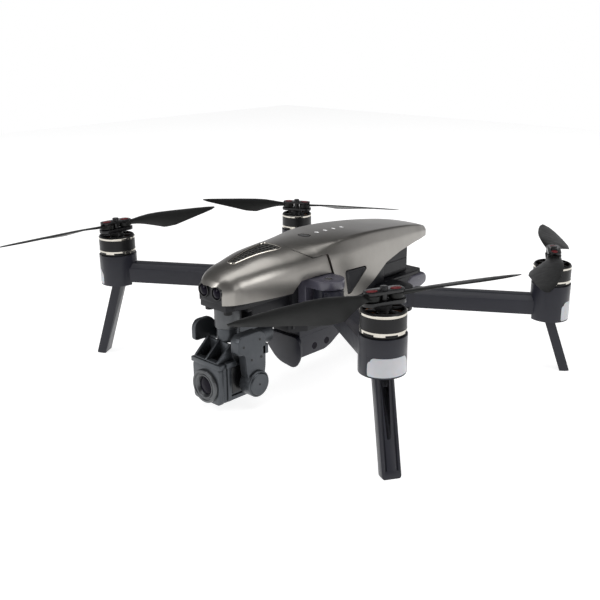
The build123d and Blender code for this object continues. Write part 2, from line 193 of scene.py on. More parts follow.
MATERIALS = {
    "silver": silver_paint(),
    "arm": moulded_plastic("arm_plastic", (0.0115, 0.012, 0.0185), (0.0155, 0.016, 0.0235), 0.34, coat=0.12),
    "dark": moulded_plastic("dark_plastic", (0.0062, 0.0064, 0.0082), (0.0095, 0.0098, 0.012), 0.44),
    "boss": moulded_plastic("boss_plastic", (0.072, 0.069, 0.092), (0.086, 0.083, 0.108), 0.24, coat=0.6),
    "gloss": moulded_plastic("gloss_black", (0.004, 0.004, 0.0045), (0.007, 0.007, 0.008), 0.22, 3500, 0.3),
    "blade": moulded_plastic("blade_black", (0.0036, 0.0040, 0.0038), (0.0062, 0.0067, 0.0062), 0.40, 1800),
    "grille": anodised("grille_bar", (0.16, 0.157, 0.15), (0.12, 0.118, 0.113), 0.40),
    "gimbal": anodised("gimbal_metal", (0.058, 0.063, 0.070), (0.078, 0.084, 0.092), 0.34, 0.7),
    "can": anodised("motor_black", (0.006, 0.006, 0.0065), (0.010, 0.010, 0.011), 0.38, 0.5),
    "lens_metal": anodised("lens_metal", (0.085, 0.088, 0.092), (0.11, 0.114, 0.118), 0.34, 0.75),
    "steel": anodised("pin_steel", (0.5, 0.5, 0.5), (0.4, 0.4, 0.4), 0.28, 1.0),
    "band": polished_band(),
    "copper": copper_wire(),
    "glass": lens_coating(),
    "cover": frosted_cover(),
    "lamp": lamp_material(),
    "red": red_mark(),
    "rubber": moulded_plastic("rubber_black", (0.010, 0.010, 0.010), (0.016, 0.016, 0.016), 0.7),
    "board": moulded_plastic("board_green", (0.010, 0.07, 0.03), (0.014, 0.09, 0.04), 0.4),
    "floor": floor_material(),
    "cell": moulded_plastic("cell_wrap", (0.007, 0.007, 0.009), (0.011, 0.011, 0.014), 0.35),
}


# ---- mesh helpers --------------------------------------------------------------------------------
def new_piece(name, mesh, material, body, replaces=(), placed=False):
    """Adds a finished mesh as a piece of a body, moved by ORIGIN unless it is placed already."""
    if not placed:
        mesh.transform(Matrix.Translation(ORIGIN))
    piece = bpy.data.objects.new(name, mesh)
    bpy.context.scene.collection.objects.link(piece)
    mesh.materials.clear()
    mesh.materials.append(MATERIALS[material])
    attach(piece, body)
    if replaces:
        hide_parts(*replaces)


def shifted(x, y, z):
    """A move by millimetres."""
    return Matrix.Translation(Vector((x, y, z)) * MM)


def turned(degrees, axis="Z"):
    return Matrix.Rotation(math.radians(degrees), 4, axis)


def mesh_from(name, points, faces):
    """A mesh from points in millimetres, with outward normals and smooth shading."""
    mesh = bpy.data.meshes.new(name)
    mesh.from_pydata([tuple(c * MM for c in p) for p in points], [], faces)
    bm = bmesh.new()
    bm.from_mesh(mesh)
    bmesh.ops.remove_doubles(bm, verts=bm.verts, dist=1e-6)
    bmesh.ops.recalc_face_normals(bm, faces=bm.faces)
    bm.to_mesh(mesh)
    bm.free()
    mesh.shade_smooth()
    return mesh


def apply_modifiers(piece):
    """Bakes a piece's modifiers into its mesh."""
    graph = bpy.context.evaluated_depsgraph_get()
    baked = bpy.data.meshes.new_from_object(piece.evaluated_get(graph))
    piece.modifiers.clear()
    piece.data = baked


def sharp_by_angle(mesh, degrees=32):
    """Smooth shading with hard edges where two faces turn by more than an angle."""
    mesh.shade_smooth()
    mesh.set_sharp_from_angle(angle=math.radians(degrees))


def ring_faces(rings, count):
    """Four-sided faces between each closed ring of points and the next."""
    faces = []
    for i in range(rings - 1):
        for j in range(count):
            k = (j + 1) % count
            faces.append((i * count + j, i * count + k, (i + 1) * count + k, (i + 1) * count + j))
    return faces


def pad_from_rings(name, rings, degrees):
    """A pad whose rings of points open out from its middle, closed by the last ring."""
    count = len(rings[0])
    faces = ring_faces(len(rings), count)
    faces.append(tuple((len(rings) - 1) * count + j for j in range(count)))
    mesh = mesh_from(name, [p for ring in rings for p in ring], faces)
    sharp_by_angle(mesh, degrees)
    return mesh


def bevelled(mesh, width, segments=3):
    """The same mesh with its edges rounded, width in millimetres."""
    holder = bpy.data.objects.new("bevel_holder", mesh)
    bpy.context.scene.collection.objects.link(holder)
    modifier = holder.modifiers.new("round", "BEVEL")
    modifier.width = width * MM
    modifier.segments = segments
    modifier.limit_method = "ANGLE"
    modifier.angle_limit = math.radians(30)
    modifier.use_clamp_overlap = True
    modifier.miter_outer = "MITER_ARC"
    bpy.context.view_layer.update()
    apply_modifiers(holder)
    result = holder.data
    bpy.data.objects.remove(holder)
    sharp_by_angle(result)
    return result


def boolean(mesh, other, operation):
    """Exact boolean of two meshes."""
    base = bpy.data.objects.new("boolean_base", mesh)
    tool = bpy.data.objects.new("boolean_tool", other)
    for thing in (base, tool):
        bpy.context.scene.collection.objects.link(thing)
    modifier = base.modifiers.new("cut", "BOOLEAN")
    modifier.operation = operation
    modifier.solver = "EXACT"
    modifier.object = tool
    bpy.context.view_layer.update()
    apply_modifiers(base)
    result = base.data
    bpy.data.objects.remove(base)
    bpy.data.objects.remove(tool)
    return result


def node_mesh(node):
    """A clean copy of a CAD node's mesh, with flat faces merged."""
    source = frame["nodes"][node]
    mesh = source.data.copy()
    mesh.transform(source.matrix_world)
    bm = bmesh.new()
    bm.from_mesh(mesh)
    bmesh.ops.remove_doubles(bm, verts=bm.verts, dist=2e-6)
    bmesh.ops.dissolve_limit(bm, angle_limit=math.radians(1.0), verts=bm.verts, edges=bm.edges)
    bmesh.ops.recalc_face_normals(bm, faces=bm.faces)
    bm.to_mesh(mesh)
    bm.free()
    return mesh


def body_of_node(node):
    for body, nodes in frame["record"]["behaviour"]["bodies"].items():
        if node in nodes:
            return body
    raise KeyError(node)


def softened(node, material, width):
    """Stands in for a CAD node: the same shape with rounded edges that catch the light."""
    mesh = bevelled(node_mesh(node), width)
    new_piece(node + "_shape", mesh, material, body_of_node(node), (node,), True)


def repaint(node, material):
    """Keeps a CAD node and gives it a better material."""
    mesh = frame["nodes"][node].data
    mesh.materials.clear()
    mesh.materials.append(MATERIALS[material])


def lathe_mesh(name, profile, centre, segments=72):
    """A solid of revolution about an upright axis from a closed (radius, height) profile."""
    points = []
    for i in range(segments):
        angle = 2 * math.pi * i / segments
        for r, z in profile:
            points.append((centre[0] + r * math.cos(angle), centre[1] + r * math.sin(angle), centre[2] + z))
    count = len(profile)
    faces = []
    for i in range(segments):
        for j in range(count):
            a, b = i * count, (i + 1) % segments * count
            k = (j + 1) % count
            faces.append((a + j, b + j, b + k, a + k))
    mesh = mesh_from(name, points, faces)
    sharp_by_angle(mesh)
    return mesh


def join_meshes(name, meshes):
    """One mesh from several."""
    bm = bmesh.new()
    for mesh in meshes:
        bm.from_mesh(mesh)
    joined = bpy.data.meshes.new(name)
    bm.to_mesh(joined)
    bm.free()
    sharp_by_angle(joined)
    return joined


def prism_mesh(name, outline, low, high, axis="Z"):
    """A prism from a closed outline; axis X reads the outline as (y, z), Y as (x, z) and Z as (x, y)."""
    def spot(p, level):
        if axis == "X":
            return (level, *p)
        if axis == "Y":
            return (p[0], level, p[1])
        return (*p, level)

    count = len(outline)
    points = [spot(p, low) for p in outline] + [spot(p, high) for p in outline]
    faces = [tuple(range(count)), tuple(range(2 * count - 1, count - 1, -1))]
    for i in range(count):
        j = (i + 1) % count
        faces.append((i, j, count + j, count + i))
    return mesh_from(name, points, faces)


# ---- upper body ----------------------------------------------------------------------------------
# One row for each y: crown height, then shoulder, side and floor as (half width, height), then how round
# the shoulder is.
NOSE_ROWS = [
    (-122, 89.4, (6.2, 88.4), (8.4, 83.5), (8.4, 77.5), 5),
    (-120, 92.4, (8.2, 91.0), (11.4, 85.0), (11.5, 77.0), 6),
    (-116, 95.9, (11.0, 93.8), (15.4, 86.0), (15.6, 76.5), 8),
    (-110, 98.6, (13.2, 96.2), (18.2, 87.0), (18.5, 76), 10),
    (-98, 101.6, (15.2, 98.9), (21.1, 88.5), (21.6, 75.5), 14),
    (-83, 104.8, (17.5, 101.7), (24.4, 90.5), (25.0, 75), 18),
    (-64, 106.4, (19.5, 103.2), (27.0, 92.5), (27.8, 74), 22),
    (-40, 107.0, (21.5, 104.4), (28.0, 94.0), (28.8, 68), 22),
    (-20, 107.2, (22.0, 105.0), (28.0, 95.0), (29.0, 62), 22),
]
COVER_ROWS = [
    (-62, 106.4, (19.5, 103.2), (27.0, 92.5), (27.8, 74), 22),
    (-45, 106.9, (21.3, 104.3), (27.9, 93.8), (28.6, 68), 18),
    (-33, 107.1, (23.2, 104.8), (29.2, 95.0), (30.2, 62), 7),
    (-24, 107.1, (24.8, 105.2), (29.6, 95.0), (30.6, 59), 3),
    (6, 106.5, (24.9, 105.9), (28.2, 95.0), (29.4, 58), 2),
    (34, 104.7, (23.0, 104.3), (25.6, 94.0), (26.6, 60), 2),
    (62, 102.0, (20.2, 101.5), (22.4, 92.5), (23.0, 70), 2),
    (85, 98.8, (17.0, 98.2), (18.8, 91.5), (19.0, 82), 2),
    (100, 95.6, (14.2, 95.0), (16.0, 90.4), (15.8, 84.6), 2),
    (108, 92.9, (11.0, 92.3), (13.2, 89.4), (13.0, 85.2), 3),
    (112.4, 90.0, (6.6, 89.6), (9.0, 88.0), (8.8, 86.0), 3),
]
HALF_POINTS = 44                      # points of half a section
SHOULDER_SHARE = 0.45                 # share of the side's points that lie above its widest place
WALL = 1.7


def blend_rows(rows, y):
    """The section values at y, on a smooth curve through the rows."""
    ys = [row[0] for row in rows]
    values = np.array([[row[1], *row[2], *row[3], *row[4], row[5]] for row in rows])
    k = int(np.clip(np.searchsorted(ys, y) - 1, 0, len(ys) - 2))
    slopes = np.gradient(values, np.array(ys), axis=0)
    h = ys[k + 1] - ys[k]
    t = (y - ys[k]) / h
    a = 2 * t ** 3 - 3 * t ** 2 + 1
    b = t ** 3 - 2 * t ** 2 + t
    c = -2 * t ** 3 + 3 * t ** 2
    d = t ** 3 - t ** 2
    return a * values[k] + b * h * slopes[k] + c * values[k + 1] + d * h * slopes[k + 1]


def section_points(rows, y, inset=0.0):
    """Points of one section from the left floor over the crown to the right floor."""
    crown, sw, sz, mw, mz, fw, fz, rounding = blend_rows(rows, y)
    half = []
    top_count = HALF_POINTS // 2
    for i in range(top_count):
        u = i / top_count
        half.append((sw * u, crown - (crown - sz) * u ** 2.2))
    for i in range(HALF_POINTS - top_count + 1):
        u = i / (HALF_POINTS - top_count)
        if u < SHOULDER_SHARE:
            s = u / SHOULDER_SHARE
            bulge = min(1.0, rounding / 14)
            out = bulge * math.sin(s * math.pi / 2) + (1 - bulge) * s
            half.append((sw + (mw - sw) * out, sz + (mz - sz) * s))
        else:
            s = (u - SHOULDER_SHARE) / (1 - SHOULDER_SHARE)
            half.append((mw + (fw - mw) * s, mz + (fz - mz) * s))
    full = np.array([(-x, z) for x, z in half[:0:-1]] + half)
    for _ in range(int(round(rounding))):
        full[1:-1] = full[1:-1] * 0.5 + (full[:-2] + full[2:]) * 0.25
    if inset:
        tangent = np.gradient(full, axis=0)
        tangent /= np.linalg.norm(tangent, axis=1)[:, None]
        full = full + np.stack([tangent[:, 1], -tangent[:, 0]], axis=1) * inset
    return full


def top_height(rows, x, y):
    """Height of the upper surface over a plan position."""
    full = section_points(rows, y)
    upper = full[np.abs(full[:, 0]) <= abs(x) + 3]
    return float(np.interp(x, upper[:, 0], upper[:, 1]))


def shell_solid(name, rows, low_y, high_y, count):
    """A closed shell with a wall, open below, between two y positions."""
    ys = [low_y + (high_y - low_y) * (0.5 - 0.5 * math.cos(math.pi * i / (count - 1))) for i in range(count)]
    rings = []
    for y in ys:
        outer = section_points(rows, y)
        inner_y = min(max(y, low_y + WALL), high_y - WALL)
        inner = section_points(rows, inner_y, WALL)
        ring = [(x, y, z) for x, z in outer] + [(x, inner_y, z) for x, z in inner[::-1]]
        rings.append(ring)
    width = len(rings[0])
    faces = ring_faces(count, width)
    half = width // 2
    for base in (0, (count - 1) * width):
        for j in range(half - 1):
            faces.append((base + j, base + j + 1, base + width - 2 - j, base + width - 1 - j))
    return triangulated(mesh_from(name, [p for ring in rings for p in ring], faces))


def triangulated(mesh):
    """Flat triangles, so that the cuts leave no bent faces behind."""
    bm = bmesh.new()
    bm.from_mesh(mesh)
    bmesh.ops.triangulate(bm, faces=bm.faces)
    bm.to_mesh(mesh)
    bm.free()
    return mesh


def rounded_outline(corners, radius, steps=5):
    """A closed outline with its corners rounded by arcs."""
    result = []
    count = len(corners)
    for i in range(count):
        here = Vector(corners[i])
        before = Vector(corners[i - 1]) - here
        after = Vector(corners[(i + 1) % count]) - here
        r = min(radius, before.length * 0.45, after.length * 0.45)
        start = here + before.normalized() * r
        stop = here + after.normalized() * r
        for k in range(steps + 1):
            t = k / steps
            p = start * (1 - t) ** 2 + here * 2 * t * (1 - t) + stop * t ** 2
            result.append((p.x, p.y))
    return result


NOSE_SIDE = [(-130, 77), (-68, 77), (-64.5, 80.5), (-60, 84.3), (-44, 84.9), (-28.6, 84.3), (-31.2, 92),
             (-32.8, 98.0), (-46, 97.6), (-57.4, 104.2), (-57.4, 118), (-130, 118)]
COVER_SIDE = [(-57, 118), (-57, 104.4), (-45.8, 98.2), (-32.2, 98.6), (-30.6, 92), (-28.0, 84), (-22.3, 66),
              (-16, 60.6), (4, 60.6), (20, 67), (39, 77.5), (60, 82), (84, 84.2), (101, 84.9), (112, 85.6),
              (118, 86), (118, 118)]
GRILLE = [(-2.6, -101.5), (2.6, -101.5), (9.9, -64), (8.4, -60.6), (-8.4, -60.6), (-9.9, -64)]
BUTTON_SIDE = [(-16, 83), (9.5, 81.5), (11.5, 79), (-9, 64.2), (-13, 64)]
LAMP_Y = (-14.3, -4.9, 4.5, 13.9)
POWER_Y = -28
EYE_X = 6.7
EYES = (-EYE_X, EYE_X)


def ellipse(cx, cy, rx, ry, count=40):
    return [(cx + rx * math.cos(2 * math.pi * i / count), cy + ry * math.sin(2 * math.pi * i / count))
            for i in range(count)]


def cut_shell(mesh, tools):
    for tool in tools:
        mesh = boolean(mesh, tool, "DIFFERENCE")
    return mesh


def nose_shell():
    shell = shell_solid("nose", NOSE_ROWS, -122, -22, 110)
    shell = boolean(shell, prism_mesh("side", NOSE_SIDE, -60, 60, "X"), "INTERSECT")
    grille = prism_mesh("grille_cut", rounded_outline(GRILLE, 2.0), 88, 115)
    brow = prism_mesh("brow_cut", [(-11.6, 70), (11.6, 70), (11.6, 85.5), (-11.6, 85.5)], -130, -113.5, "Y")
    eyes = [prism_mesh("eye_cut", ellipse(x, 84.6, 4.9, 4.9, 48), -130, -112, "Y") for x in EYES]
    shell = cut_shell(shell, [grille, brow, *eyes])
    sharp_by_angle(shell, 38)
    new_piece("nose_shell_skin", shell, "silver", "airframe", ("nose_shell",))


def battery_cover():
    shell = shell_solid("cover", COVER_ROWS, -61, 112.4, 180)
    shell = boolean(shell, prism_mesh("side", COVER_SIDE, -60, 60, "X"), "INTERSECT")
    button = rounded_outline(BUTTON_SIDE, 3.0)
    tools = [prism_mesh("lamp_cut", ellipse(0, y, 2.3, 1.25), 98, 115) for y in LAMP_Y]
    tools.append(prism_mesh("power_cut", ellipse(0, POWER_Y, 5.6, 4.2), 98, 115))
    tools += [prism_mesh("release_cut", button, *span, "X") for span in ((20, 40), (-40, -20))]
    shell = cut_shell(shell, tools)
    sharp_by_angle(shell, 38)
    new_piece("battery_cover_skin", shell, "silver", "battery", ("battery_cover",))


def draped_patch(name, rows, outline, lift, depth):
    """A closed pad that follows the upper surface inside a plan outline."""
    cx = sum(p[0] for p in outline) / len(outline)
    cy = sum(p[1] for p in outline) / len(outline)
    rings = []
    for share in (0.0, 0.35, 0.65, 0.88, 1.0):
        drop = 0.25 * share ** 8
        ring = []
        for x, y in outline:
            px, py = cx + (x - cx) * share, cy + (y - cy) * share
            ring.append((px, py, top_height(rows, px, py) + lift - drop))
        rings.append(ring)
    rings.append([(x, y, z - depth) for x, y, z in rings[-1]])
    return pad_from_rings(name, rings, 40)


def top_grille():
    """A mesh of crossing bars that follows the top of the nose, and its bright rim."""
    bars = []
    for i in range(12):
        y = -99.4 + i * 3.3
        half = 2.2 + (y + 101.5) * 0.196
        bars.append(surface_strip([(-half + 2 * half * k / 8, y) for k in range(9)], 0.62, -0.25))
    for share in (-0.5, 0.0, 0.5):
        path = [(share * (2.6 + k * 0.74), -101 + k * 4) for k in range(11)]
        bars.append(surface_strip(path, 0.55, -0.2))
    mesh = join_meshes("grille_bars", bars)
    new_piece("grille_mesh", mesh, "grille", "airframe", ("top_grille",))
    # The gloss-black sheet just under the bars is painted shade: it stands for the dark inside of the nose
    # seen through the grille.
    backing = draped_patch("grille_back", NOSE_ROWS, rounded_outline(GRILLE, 2.0), -0.9, 0.8)
    new_piece("grille_shade_backing", backing, "gloss", "airframe")
    outline = rounded_outline(GRILLE, 2.2)
    rim = surface_strip(resampled(outline, 1.5) + outline[:1], 1.3, 0.35, closed=True)
    new_piece("grille_rim", rim, "band", "airframe")


def surface_strip(path, width, lift, closed=False):
    """A round-topped bar laid along a plan path on the nose's upper surface."""
    profile = [(-0.5, -0.9), (-0.5, -0.15), (-0.3, 0.1), (0.3, 0.1), (0.5, -0.15), (0.5, -0.9)]
    spots = path[:-1] if closed else path
    count = len(spots)
    points = []
    for i, (x, y) in enumerate(spots):
        after = spots[(i + 1) % count] if closed else spots[min(i + 1, count - 1)]
        before = spots[i - 1] if closed else spots[max(i - 1, 0)]
        along = Vector((after[0] - before[0], after[1] - before[1])).normalized()
        side = Vector((-along.y, along.x))
        z = top_height(NOSE_ROWS, x, y) + lift
        for across, up in profile:
            points.append((x + side.x * across * width, y + side.y * across * width, z + up * width))
    n = len(profile)
    faces = []
    for i in range(count if closed else count - 1):
        for j in range(n):
            a, b = i * n, (i + 1) % count * n
            k = (j + 1) % n
            faces.append((a + j, b + j, b + k, a + k))
    if not closed:
        faces += [tuple(range(n)), tuple(range((count - 1) * n, count * n))]
    mesh = mesh_from("strip", points, faces)
    sharp_by_angle(mesh, 50)
    return mesh


def top_controls():
    lamps = [draped_patch("lamp", COVER_ROWS, ellipse(0, y, 2.2, 1.15, 24), 0.05, 1.5) for y in LAMP_Y]
    lamp_mesh = join_meshes("lamps", lamps)
    new_piece("lamp_lenses", lamp_mesh, "lamp", "battery", ("indicator_leds",))
    button = draped_patch("power", COVER_ROWS, ellipse(0, POWER_Y, 5.1, 3.7, 40), -0.15, 3.0)
    new_piece("power_button_cap", button, "gloss", "power_button", ("power_button",))


def side_button(side):
    """The dark release button that lies flush in the side of the battery cover."""
    name = "left" if side > 0 else "right"
    outline = rounded_outline(BUTTON_SIDE, 2.8)
    cy = sum(p[0] for p in outline) / len(outline)
    cz = sum(p[1] for p in outline) / len(outline)
    rings = []
    for share, drop in ((0.0, 0.6), (0.45, 0.6), (0.74, 0.5), (0.79, 0.0), (0.88, 0.0), (0.925, 0.4)):
        rings.append([(side_width(cy + (y - cy) * share, cz + (z - cz) * share) - drop,
                       cy + (y - cy) * share, cz + (z - cz) * share) for y, z in outline])
    rings.append([(x - 2.6, y, z) for x, y, z in rings[-1]])
    mesh = pad_from_rings("release_" + name, [[(side * x, y, z) for x, y, z in ring] for ring in rings], 40)
    new_piece("release_button_cap_" + name, mesh, "dark", "release_button_" + name,
              ("release_button_" + name,))


def side_width(y, z):
    """Half width of the battery cover's side at a height."""
    full = section_points(COVER_ROWS, y)
    right = full[len(full) // 2:]
    return float(np.interp(-z, -right[:, 1], right[:, 0]))


def facing_front(mesh, x, y, z):
    """Turns an upright lathe to face the nose and moves it to its place."""
    mesh.transform(shifted(x, y, z) @ turned(90, "X"))
    return mesh


def nose_sensors():
    """Two glossy rings with black domes under the brow, over a dark bezel."""
    softened("sensor_bezel", "dark", 0.6)
    ring = [(5.2, -4.0), (5.2, -0.1), (5.0, 0.25), (4.6, 0.3), (4.3, 0.0), (4.2, -4.0)]
    dome = [(0.01, 1.2), (1.4, 1.05), (2.7, 0.55), (3.7, -0.2), (4.25, -1.2), (4.25, -4.0), (0.01, -4.0)]
    rings = [facing_front(lathe_mesh("ring", ring, (0, 0, 0), 48), x, -120.4, 84.9) for x in EYES]
    domes = [facing_front(lathe_mesh("dome", dome, (0, 0, 0), 48), x, -120.4, 84.9) for x in EYES]
    new_piece("sensor_rings", join_meshes("sensor_rings", rings), "gloss", "airframe")
    new_piece("sensor_domes", join_meshes("sensor_domes", domes), "glass", "airframe",
              ("front_sensors",))


# ---- motors and propellers -----------------------------------------------------------------------
def level_of(corner):
    return BAND["front"] if CORNERS[corner][1] < 0 else BAND["rear"]


def motor(corner):
    """Motor can with two bright bands, and spokes over copper windings."""
    side, end, _ = CORNERS[corner]
    centre = (side * MOTOR_X, end * MOTOR_Y, level_of(corner))
    body = "rotor_" + corner
    can = [(13.3, -11.1), (13.75, -10.9), (13.85, -8.4), (13.85, -1.3), (13.75, 1.0), (13.2, 2.0),
           (12.4, 2.2), (12.0, 1.2), (12.4, 0.2), (12.6, -1.0), (12.6, -11.1)]
    pieces = [lathe_mesh("can", can, centre)]
    for i in range(6):
        spoke = prism_mesh("spoke", [(4.5, -1.5), (12.5, -0.9), (12.5, 0.9), (4.5, 1.5)], 0.1, 1.7)
        spoke.transform(shifted(*centre) @ turned(60 * i))
        pieces.append(bevelled(spoke, 0.3, 2))
    boss = [(0.01, 4.8), (4.6, 4.8), (5.0, 4.4), (5.2, 1.2), (5.6, 0.2), (5.2, 0.0), (0.01, 0.0)]
    pieces.append(lathe_mesh("boss", boss, centre, 40))
    new_piece("can_" + corner, join_meshes("can_" + corner, pieces), "can", body,
              ("motor_bell_" + corner,))
    upper = [(13.7, 1.0), (13.98, 0.85), (14.0, -0.5), (13.7, -0.7), (13.4, -0.65), (13.4, 0.95)]
    lower = [(13.7, 0.5), (14.0, 0.35), (14.0, -0.8), (13.7, -1.0), (13.4, -0.9), (13.4, 0.45)]
    low_centre = (centre[0], centre[1], centre[2] - 9.5)
    bands = join_meshes("bands_" + corner, [lathe_mesh("upper", upper, centre, 96),
                                            lathe_mesh("lower", lower, low_centre, 96), *band_teeth(centre)])
    new_piece("bands_" + corner, bands, "band", body)
    windings(corner, centre)


def band_teeth(centre):
    """The short tabs that hang below the lower band."""
    teeth = []
    for i in range(6):
        arc = [math.radians(-14 + 4 * k) for k in range(8)]
        outline = [(13.95 * math.cos(a), 13.95 * math.sin(a)) for a in arc]
        outline += [(13.4 * math.cos(a), 13.4 * math.sin(a)) for a in reversed(arc)]
        tooth = prism_mesh("tooth", outline, -11.35, -10.0)
        tooth.transform(shifted(*centre) @ turned(60 * i))
        teeth.append(tooth)
    return teeth


def windings(corner, centre):
    """Twelve copper coils on the stator."""
    middle = (centre[0], centre[1], centre[2] - 5.2)
    coils = []
    for i in range(12):
        for k in range(5):
            coil = wire_loop(5.6 + k * 1.35, 2.0 + 0.12 * k, 3.9)
            coil.transform(shifted(*middle) @ turned(30 * i))
            coils.append(coil)
    hub = [(0.01, -7.8), (13.0, -7.8), (13.0, -6.3), (4.2, -6.2), (4.2, 4.6), (0.01, 4.6)]
    base = lathe_mesh("stator_base", hub, middle, 48)
    new_piece("stator_core_" + corner, base, "can", "arm_" + corner)
    new_piece("windings_" + corner, join_meshes("windings", coils), "copper", "arm_" + corner,
              ("stator_" + corner,))


def wire_loop(r, half_width, half_height):
    """One turn of wire around a stator tooth that points along +X."""
    thick = 0.62
    path = rounded_outline([(-half_width, -half_height), (half_width, -half_height),
                            (half_width, half_height), (-half_width, half_height)], 1.2, 2)
    sides = 6
    points = []
    for y, z in path:
        out = Vector((y, z)).normalized()
        for k in range(sides):
            a = 2 * math.pi * k / sides
            lift = thick * math.cos(a)
            points.append((r + thick * math.sin(a), y + out.x * lift, z + out.y * lift))
    count = len(path)
    faces = []
    for i in range(count):
        for k in range(sides):
            m = (k + 1) % sides
            a, b = i * sides, (i + 1) % count * sides
            faces.append((a + k, b + k, b + m, a + m))
    return mesh_from("wire", points, faces)


def blade_section(share):
    """Chord, place of the front edge, pitch in degrees and thickness at a share of the blade's reach."""
    stations = [0.0, 0.10, 0.20, 0.30, 0.42, 0.60, 0.80, 0.93, 1.0]
    chord = np.interp(share, stations, [8.5, 10.5, 17.0, 24.0, 24.5, 20.0, 13.5, 8.0, 2.4])
    nose = np.interp(share, stations, [4.2, 4.8, 6.2, 7.0, 7.0, 5.6, 3.0, 0.6, -1.8])
    pitch = np.interp(share, stations, [2, 8, 14, 17, 16, 13, 10, 8, 7])
    thick = np.interp(share, stations, [3.2, 2.8, 2.4, 2.1, 1.8, 1.5, 1.2, 0.9, 0.6])
    return float(chord), float(nose), float(pitch), float(thick)


def blade_mesh(spin):
    """One blade along +X from its pivot at the origin."""
    stations = 34
    around = 28
    rings = []
    for i in range(stations):
        share = 0.03 + 0.97 * i / (stations - 1)
        chord, nose, pitch, thick = blade_section(share)
        p = math.radians(pitch)
        ring = []
        for k in range(around):
            a = 2 * math.pi * k / around
            along = 0.5 - 0.5 * math.cos(a)
            body = thick * (math.sqrt(max(along, 0)) * (1 - along) * 1.9) * 0.5
            camber = 0.05 * chord * (1 - (2 * along - 0.9) ** 2)
            y = nose - along * chord
            z = camber + (body if a < math.pi else -body * 0.55)
            across = spin * (y * math.cos(p) - z * math.sin(p))
            ring.append((share * BLADE_REACH, across, y * math.sin(p) + z * math.cos(p)))
        rings.append(ring)
    faces = ring_faces(stations, around)
    faces += [tuple(range(around)), tuple(range((stations - 1) * around, stations * around))]
    wing = mesh_from("wing", [point for ring in rings for point in ring], faces)
    root_profile = [(1.7, -1.7), (4.6, -1.7), (5.0, -1.3), (5.0, 1.4), (4.6, 1.8), (1.7, 1.8)]
    root = lathe_mesh("root", root_profile, (0, 0, 0), 40)
    return join_meshes("blade", [wing, root])


def propeller(corner):
    """Two blades folded as parked, red ovals over their pivots, and the hub between them."""
    side, end, angles = CORNERS[corner]
    spin = side * end
    hub = (angles[0] + angles[1] - 180) / 2
    level = level_of(corner)
    for index in (0, 1):
        heading = hub + 180 * index
        place = shifted(side * MOTOR_X, end * MOTOR_Y, 0) @ turned(heading)
        fold = (angles[index] - heading) * (BLADE_PIVOT + BLADE_REACH) / BLADE_REACH
        mesh = blade_mesh(spin)
        mesh.transform(place @ shifted(BLADE_PIVOT, 0, level + 9.3) @ turned(fold))
        name = "blade_{}_{}".format(index + 1, corner)
        new_piece(name + "_wing", mesh, "blade", name, (name,))
        mark = prism_mesh("mark", ellipse(BLADE_PIVOT, 0, 3.6, 2.3), level + 12.95, level + 13.12)
        mark.transform(place)
        new_piece("mark_{}_{}".format(index + 1, corner), mark, "red", "rotor_" + corner)
    softened("prop_hub_" + corner, "gloss", 0.5)


# ---- arms and legs -------------------------------------------------------------------------------
ARM_LEN = math.hypot(MOTOR_X - HINGE_X, MOTOR_Y - HINGE_Y)
LEGS = {"front": (64.2, 18.5), "rear": (45.0, 14.8)}            # pivot height and splay of a foot
CUPS = {"front": (60.6, 73.5), "rear": (41.4, 57.0)}            # bottom of a cup and top of its light cover


def arm_frame(corner):
    """From an arm's own frame, hinge at the origin and motor along +X, to its corner."""
    side, end, _ = CORNERS[corner]
    turn = math.atan2(end * (MOTOR_Y - HINGE_Y), side * (MOTOR_X - HINGE_X))
    return shifted(side * HINGE_X, end * HINGE_Y, 0) @ Matrix.Rotation(turn, 4, "Z")


def kind_of(corner):
    return "front" if CORNERS[corner][1] < 0 else "rear"


def leg(corner):
    """A flat leg with two grooves and a long slot in its outer face, cut level at the ground."""
    pivot, splay = LEGS[kind_of(corner)]
    lean = math.atan2(splay + 1, pivot)
    length = pivot / math.cos(lean)
    outline = rounded_outline([(-6, 3.4), (6, 3.4), (6, -length - 1.2), (-6, -length - 1.2)], 2.4)
    slab = prism_mesh("slab", outline, -3.4, 3.5, "X")
    for y in (-3.5, 3.5):
        groove = [(y - 0.7, -7), (y + 0.7, -7), (y + 0.7, 4 - length), (y - 0.7, 4 - length)]
        slab = boolean(slab, prism_mesh("groove", groove, 2.8, 6, "X"), "DIFFERENCE")
    slot = rounded_outline([(-1.05, -length * 0.20), (1.05, -length * 0.20), (1.05, -length * 0.66),
                            (-1.05, -length * 0.66)], 0.7)
    slab = boolean(slab, prism_mesh("slot", slot, 1.2, 6, "X"), "DIFFERENCE")
    place = arm_frame(corner) @ shifted(ARM_LEN - 1, 0, pivot) @ Matrix.Rotation(-lean, 4, "Y")
    slab.transform(place)
    ground = prism_mesh("ground", [(-300, -300), (300, -300), (300, 300), (-300, 300)], -30, 0)
    slab = boolean(slab, ground, "DIFFERENCE")
    slab = bevelled(slab, 0.35, 2)
    pin = prism_mesh("pin", ellipse(0, 0, 1.6, 1.6, 24), -7.5, 7.5, "Y")
    pin.transform(place)
    node = "leg_" + corner
    new_piece(node + "_shape", join_meshes("leg", [slab, pin]), "arm", node, (node,))


def resampled(outline, step):
    """The same closed outline with points no further apart than a step."""
    result = []
    for i, here in enumerate(outline):
        after = outline[(i + 1) % len(outline)]
        parts = max(1, int(math.dist(here, after) / step))
        result += [(here[0] + (after[0] - here[0]) * k / parts, here[1] + (after[1] - here[1]) * k / parts)
                   for k in range(parts)]
    return result


